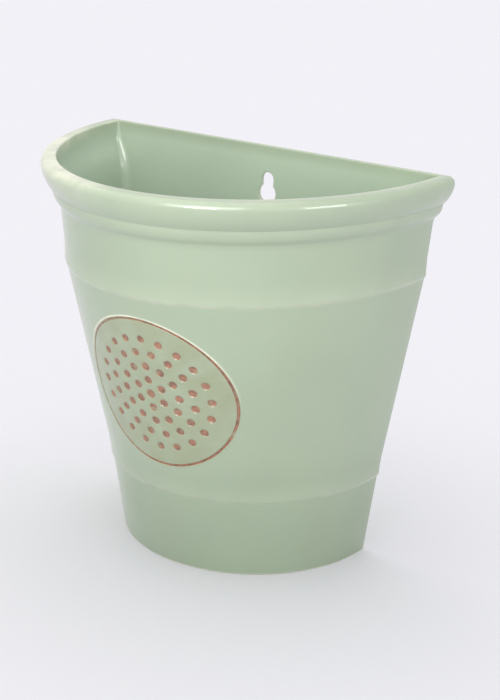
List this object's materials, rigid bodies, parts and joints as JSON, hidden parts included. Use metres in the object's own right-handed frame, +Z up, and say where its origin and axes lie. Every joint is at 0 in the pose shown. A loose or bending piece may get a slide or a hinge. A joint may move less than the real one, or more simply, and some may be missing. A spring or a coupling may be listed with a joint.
{
  "type": "half-round wall planter",
  "caption": "Half-oval tapered wall planter with a flat back, a rolled rim, stepped bands, a keyhole for a screw and push-in drain plugs.",
  "frame": {"origin": "middle of the bounding box at ground level, where the foot edge stands", "axes": "+Z up, +Y out of the flat back towards the wall, so -Y is the rounded front and +X is to the right seen from the front"},
  "size_m": [0.25, 0.1624, 0.25],
  "materials": {
    "pot": "satin",
    "plug": "matte"
  },
  "bodies": {
    "pot": {"pot_shell": "pot"},
    "plug_left": {"drain_plug_left": "plug"},
    "plug_right": {"drain_plug_right": "plug"},
    "plug_front": {"drain_plug_front": "plug"}
  },
  "joints": [
    {"name": "plug_left_pull", "type": "slide", "parent": "pot", "child": "plug_left", "axis": [0, 0, -1], "range_m": [0, 0.03]},
    {"name": "plug_right_pull", "type": "slide", "parent": "pot", "child": "plug_right", "axis": [0, 0, -1], "range_m": [0, 0.03]},
    {"name": "plug_front_pull", "type": "slide", "parent": "pot", "child": "plug_front", "axis": [0, 0, -1], "range_m": [0, 0.03]}
  ]
}
